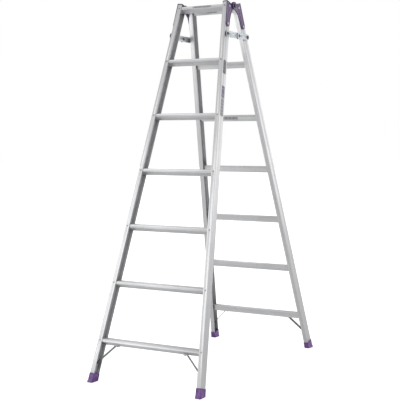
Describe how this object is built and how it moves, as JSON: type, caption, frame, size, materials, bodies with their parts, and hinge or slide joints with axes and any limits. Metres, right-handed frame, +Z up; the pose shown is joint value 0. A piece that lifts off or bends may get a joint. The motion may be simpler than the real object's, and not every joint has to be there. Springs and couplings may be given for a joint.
{
  "type": "multi position ladder",
  "caption": "Aluminium ladder of two tapered halves hinged at the top, standing as a stepladder with hooked stays, and opening out flat into one straight ladder.",
  "frame": {"origin": "on the ground, midway between the four feet", "axes": "+X along the rungs to the right-hand side, -Y towards the front half, +Z up"},
  "size_m": [0.6646, 1.3494, 1.9562],
  "materials": {
    "stile_aluminium": "satin anodised extrusion",
    "rung_aluminium": "satin extrusion with ribbed treads",
    "rivets": "bright",
    "foot_plastic": "moulded purple",
    "cap_plastic": "moulded grey",
    "bracket_paint": "purple paint",
    "brace_steel": "zinc plated",
    "stay_steel": "zinc plated",
    "pin_steel": "zinc plated",
    "marking_plate": "printed film, blank"
  },
  "bodies": {
    "front_half": {"front_brace_rivets": "rivets", "front_bracket_bolts": "pin_steel", "front_left_brace": "brace_steel", "front_left_end_cap": "cap_plastic", "front_left_foot": "foot_plastic", "front_left_hinge_bracket": "bracket_paint", "front_left_stile": "stile_aluminium", "front_right_brace": "brace_steel", "front_right_end_cap": "cap_plastic", "front_right_foot": "foot_plastic", "front_right_hinge_bracket": "bracket_paint", "front_right_stile": "stile_aluminium", "front_rung_1": "rung_aluminium", "front_rung_2": "rung_aluminium", "front_rung_3": "rung_aluminium", "front_rung_4": "rung_aluminium", "front_rung_5": "rung_aluminium", "front_rung_6": "rung_aluminium", "front_rung_7": "rung_aluminium", "front_rung_rivets": "rivets", "left_hinge_pin": "pin_steel", "left_stay_stud": "pin_steel", "lower_stile_marking_plate": "marking_plate", "middle_stile_marking_plate": "marking_plate", "right_hinge_pin": "pin_steel", "right_stay_stud": "pin_steel", "top_rung_marking_plate": "marking_plate", "upper_stile_marking_plate": "marking_plate"},
    "left_stay_link": {"left_knuckle_rivet": "pin_steel", "left_stay_link": "stay_steel"},
    "rear_half": {"left_rear_pivot": "pin_steel", "rear_brace_rivets": "rivets", "rear_bracket_bolts": "pin_steel", "rear_left_brace": "brace_steel", "rear_left_end_cap": "cap_plastic", "rear_left_foot": "foot_plastic", "rear_left_hinge_bracket": "bracket_paint", "rear_left_stile": "stile_aluminium", "rear_right_brace": "brace_steel", "rear_right_end_cap": "cap_plastic", "rear_right_foot": "foot_plastic", "rear_right_hinge_bracket": "bracket_paint", "rear_right_stile": "stile_aluminium", "rear_rung_1": "rung_aluminium", "rear_rung_2": "rung_aluminium", "rear_rung_3": "rung_aluminium", "rear_rung_4": "rung_aluminium", "rear_rung_5": "rung_aluminium", "rear_rung_6": "rung_aluminium", "rear_rung_7": "rung_aluminium", "rear_rung_marking_plates": "marking_plate", "rear_rung_rivets": "rivets", "right_rear_pivot": "pin_steel"},
    "left_stay_hook": {"left_stay_hook": "stay_steel"},
    "right_stay_link": {"right_knuckle_rivet": "pin_steel", "right_stay_link": "stay_steel"},
    "right_stay_hook": {"right_stay_hook": "stay_steel"}
  },
  "joints": [
    {"name": "main_hinge", "type": "hinge", "parent": "front_half", "child": "rear_half", "pos_m": [0, 0, 1.934], "axis": [1, 0, 0], "range_deg": [-34, 146]},
    {"name": "right_stay_lift", "type": "hinge", "parent": "rear_half", "child": "right_stay_link", "pos_m": [0.1738, 0.115, 1.776], "axis": [1, 0, 0], "range_deg": [-73, 0]},
    {"name": "right_stay_knuckle", "type": "hinge", "parent": "right_stay_link", "child": "right_stay_hook", "pos_m": [0.1722, 0.018, 1.776], "axis": [1, 0, 0], "range_deg": [-160, 0]},
    {"name": "left_stay_lift", "type": "hinge", "parent": "rear_half", "child": "left_stay_link", "pos_m": [-0.1738, 0.115, 1.776], "axis": [1, 0, 0], "range_deg": [-73, 0]},
    {"name": "left_stay_knuckle", "type": "hinge", "parent": "left_stay_link", "child": "left_stay_hook", "pos_m": [-0.1722, 0.018, 1.776], "axis": [1, 0, 0], "range_deg": [-160, 0]}
  ]
}
